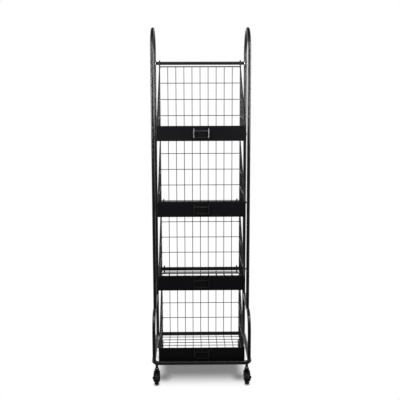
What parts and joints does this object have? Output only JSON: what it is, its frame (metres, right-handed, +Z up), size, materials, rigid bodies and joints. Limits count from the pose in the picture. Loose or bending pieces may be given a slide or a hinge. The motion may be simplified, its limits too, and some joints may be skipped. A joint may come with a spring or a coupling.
{
  "type": "bread display rack",
  "caption": "Tall black tube-frame display rack on swivel casters, with wire baskets hung one above another, each with a sheet-metal lip and a card holder in front.",
  "frame": {"origin": "middle of the rack's box, on the floor", "axes": "+Z up; -Y towards the front, where the lips are; +X to the right as seen from the front"},
  "size_m": [0.4776, 0.5066, 1.6701],
  "materials": {
    "frame_paint": "black powder coat, semi-gloss",
    "sheet_paint": "black powder coat, semi-gloss, on sheet",
    "zinc_plate": "bright zinc plate",
    "black_plastic": "satin moulded plastic",
    "dark_rubber": "matt"
  },
  "bodies": {
    "rack": {"base_hoop": "frame_paint", "shoulder_left": "frame_paint", "side_frame_left": "frame_paint", "shoulder_right": "frame_paint", "side_frame_right": "frame_paint", "cross_tube_1": "frame_paint", "tube_bolt_1_left": "zinc_plate", "tube_bolt_1_right": "zinc_plate", "cross_tube_2": "frame_paint", "tube_bolt_2_left": "zinc_plate", "tube_bolt_2_right": "zinc_plate", "cross_tube_3": "frame_paint", "tube_bolt_3_left": "zinc_plate", "tube_bolt_3_right": "zinc_plate", "cross_tube_4": "frame_paint", "tube_bolt_4_left": "zinc_plate", "tube_bolt_4_right": "zinc_plate", "basket_1_back": "frame_paint", "basket_1_base": "frame_paint", "basket_1_side_left": "frame_paint", "basket_1_side_right": "frame_paint", "basket_1_lip": "sheet_paint", "basket_1_card_holder": "sheet_paint", "basket_2_back": "frame_paint", "basket_2_base": "frame_paint", "basket_2_side_left": "frame_paint", "basket_2_side_right": "frame_paint", "basket_2_lip": "sheet_paint", "basket_2_card_holder": "sheet_paint", "basket_3_back": "frame_paint", "basket_3_base": "frame_paint", "basket_3_side_left": "frame_paint", "basket_3_side_right": "frame_paint", "basket_3_lip": "sheet_paint", "basket_3_card_holder": "sheet_paint", "basket_4_back": "frame_paint", "basket_4_base": "frame_paint", "basket_4_side_left": "frame_paint", "basket_4_side_right": "frame_paint", "basket_4_lip": "sheet_paint", "basket_4_card_holder": "sheet_paint", "caster_front_left_stem": "zinc_plate", "caster_front_right_stem": "zinc_plate", "caster_rear_left_stem": "zinc_plate", "caster_rear_right_stem": "zinc_plate"},
    "caster_front_left_fork": {"caster_front_left_hood": "black_plastic", "caster_front_left_axle": "zinc_plate"},
    "caster_front_left_wheel_body": {"caster_front_left_wheel": "dark_rubber"},
    "caster_front_left_pedal_body": {"caster_front_left_brake_pedal": "black_plastic"},
    "caster_front_right_fork": {"caster_front_right_hood": "black_plastic", "caster_front_right_axle": "zinc_plate"},
    "caster_front_right_wheel_body": {"caster_front_right_wheel": "dark_rubber"},
    "caster_front_right_pedal_body": {"caster_front_right_brake_pedal": "black_plastic"},
    "caster_rear_left_fork": {"caster_rear_left_hood": "black_plastic", "caster_rear_left_axle": "zinc_plate"},
    "caster_rear_left_wheel_body": {"caster_rear_left_wheel": "dark_rubber"},
    "caster_rear_right_fork": {"caster_rear_right_hood": "black_plastic", "caster_rear_right_axle": "zinc_plate"},
    "caster_rear_right_wheel_body": {"caster_rear_right_wheel": "dark_rubber"}
  },
  "joints": [
    {"name": "caster_front_left_swivel", "type": "hinge", "parent": "rack", "child": "caster_front_left_fork", "pos_m": [-0.2135, -0.19415, 0.07], "axis": [0, 0, 1], "continuous": true},
    {"name": "caster_front_left_roll", "type": "hinge", "parent": "caster_front_left_fork", "child": "caster_front_left_wheel_body", "pos_m": [-0.2135, -0.21415, 0.025], "axis": [1, 0, 0], "continuous": true},
    {"name": "caster_front_left_brake", "type": "hinge", "parent": "caster_front_left_fork", "child": "caster_front_left_pedal_body", "pos_m": [-0.2135, -0.23508, 0.0549], "axis": [1, 0, 0], "range_deg": [0, 15]},
    {"name": "caster_front_right_swivel", "type": "hinge", "parent": "rack", "child": "caster_front_right_fork", "pos_m": [0.2135, -0.19415, 0.07], "axis": [0, 0, 1], "continuous": true},
    {"name": "caster_front_right_roll", "type": "hinge", "parent": "caster_front_right_fork", "child": "caster_front_right_wheel_body", "pos_m": [0.2135, -0.21415, 0.025], "axis": [1, 0, 0], "continuous": true},
    {"name": "caster_front_right_brake", "type": "hinge", "parent": "caster_front_right_fork", "child": "caster_front_right_pedal_body", "pos_m": [0.2135, -0.23508, 0.0549], "axis": [1, 0, 0], "range_deg": [0, 15]},
    {"name": "caster_rear_left_swivel", "type": "hinge", "parent": "rack", "child": "caster_rear_left_fork", "pos_m": [-0.2135, 0.20281, 0.07], "axis": [0, 0, 1], "continuous": true},
    {"name": "caster_rear_left_roll", "type": "hinge", "parent": "caster_rear_left_fork", "child": "caster_rear_left_wheel_body", "pos_m": [-0.2135, 0.22281, 0.025], "axis": [1, 0, 0], "continuous": true},
    {"name": "caster_rear_right_swivel", "type": "hinge", "parent": "rack", "child": "caster_rear_right_fork", "pos_m": [0.2135, 0.20281, 0.07], "axis": [0, 0, 1], "continuous": true},
    {"name": "caster_rear_right_roll", "type": "hinge", "parent": "caster_rear_right_fork", "child": "caster_rear_right_wheel_body", "pos_m": [0.2135, 0.22281, 0.025], "axis": [1, 0, 0], "continuous": true}
  ]
}
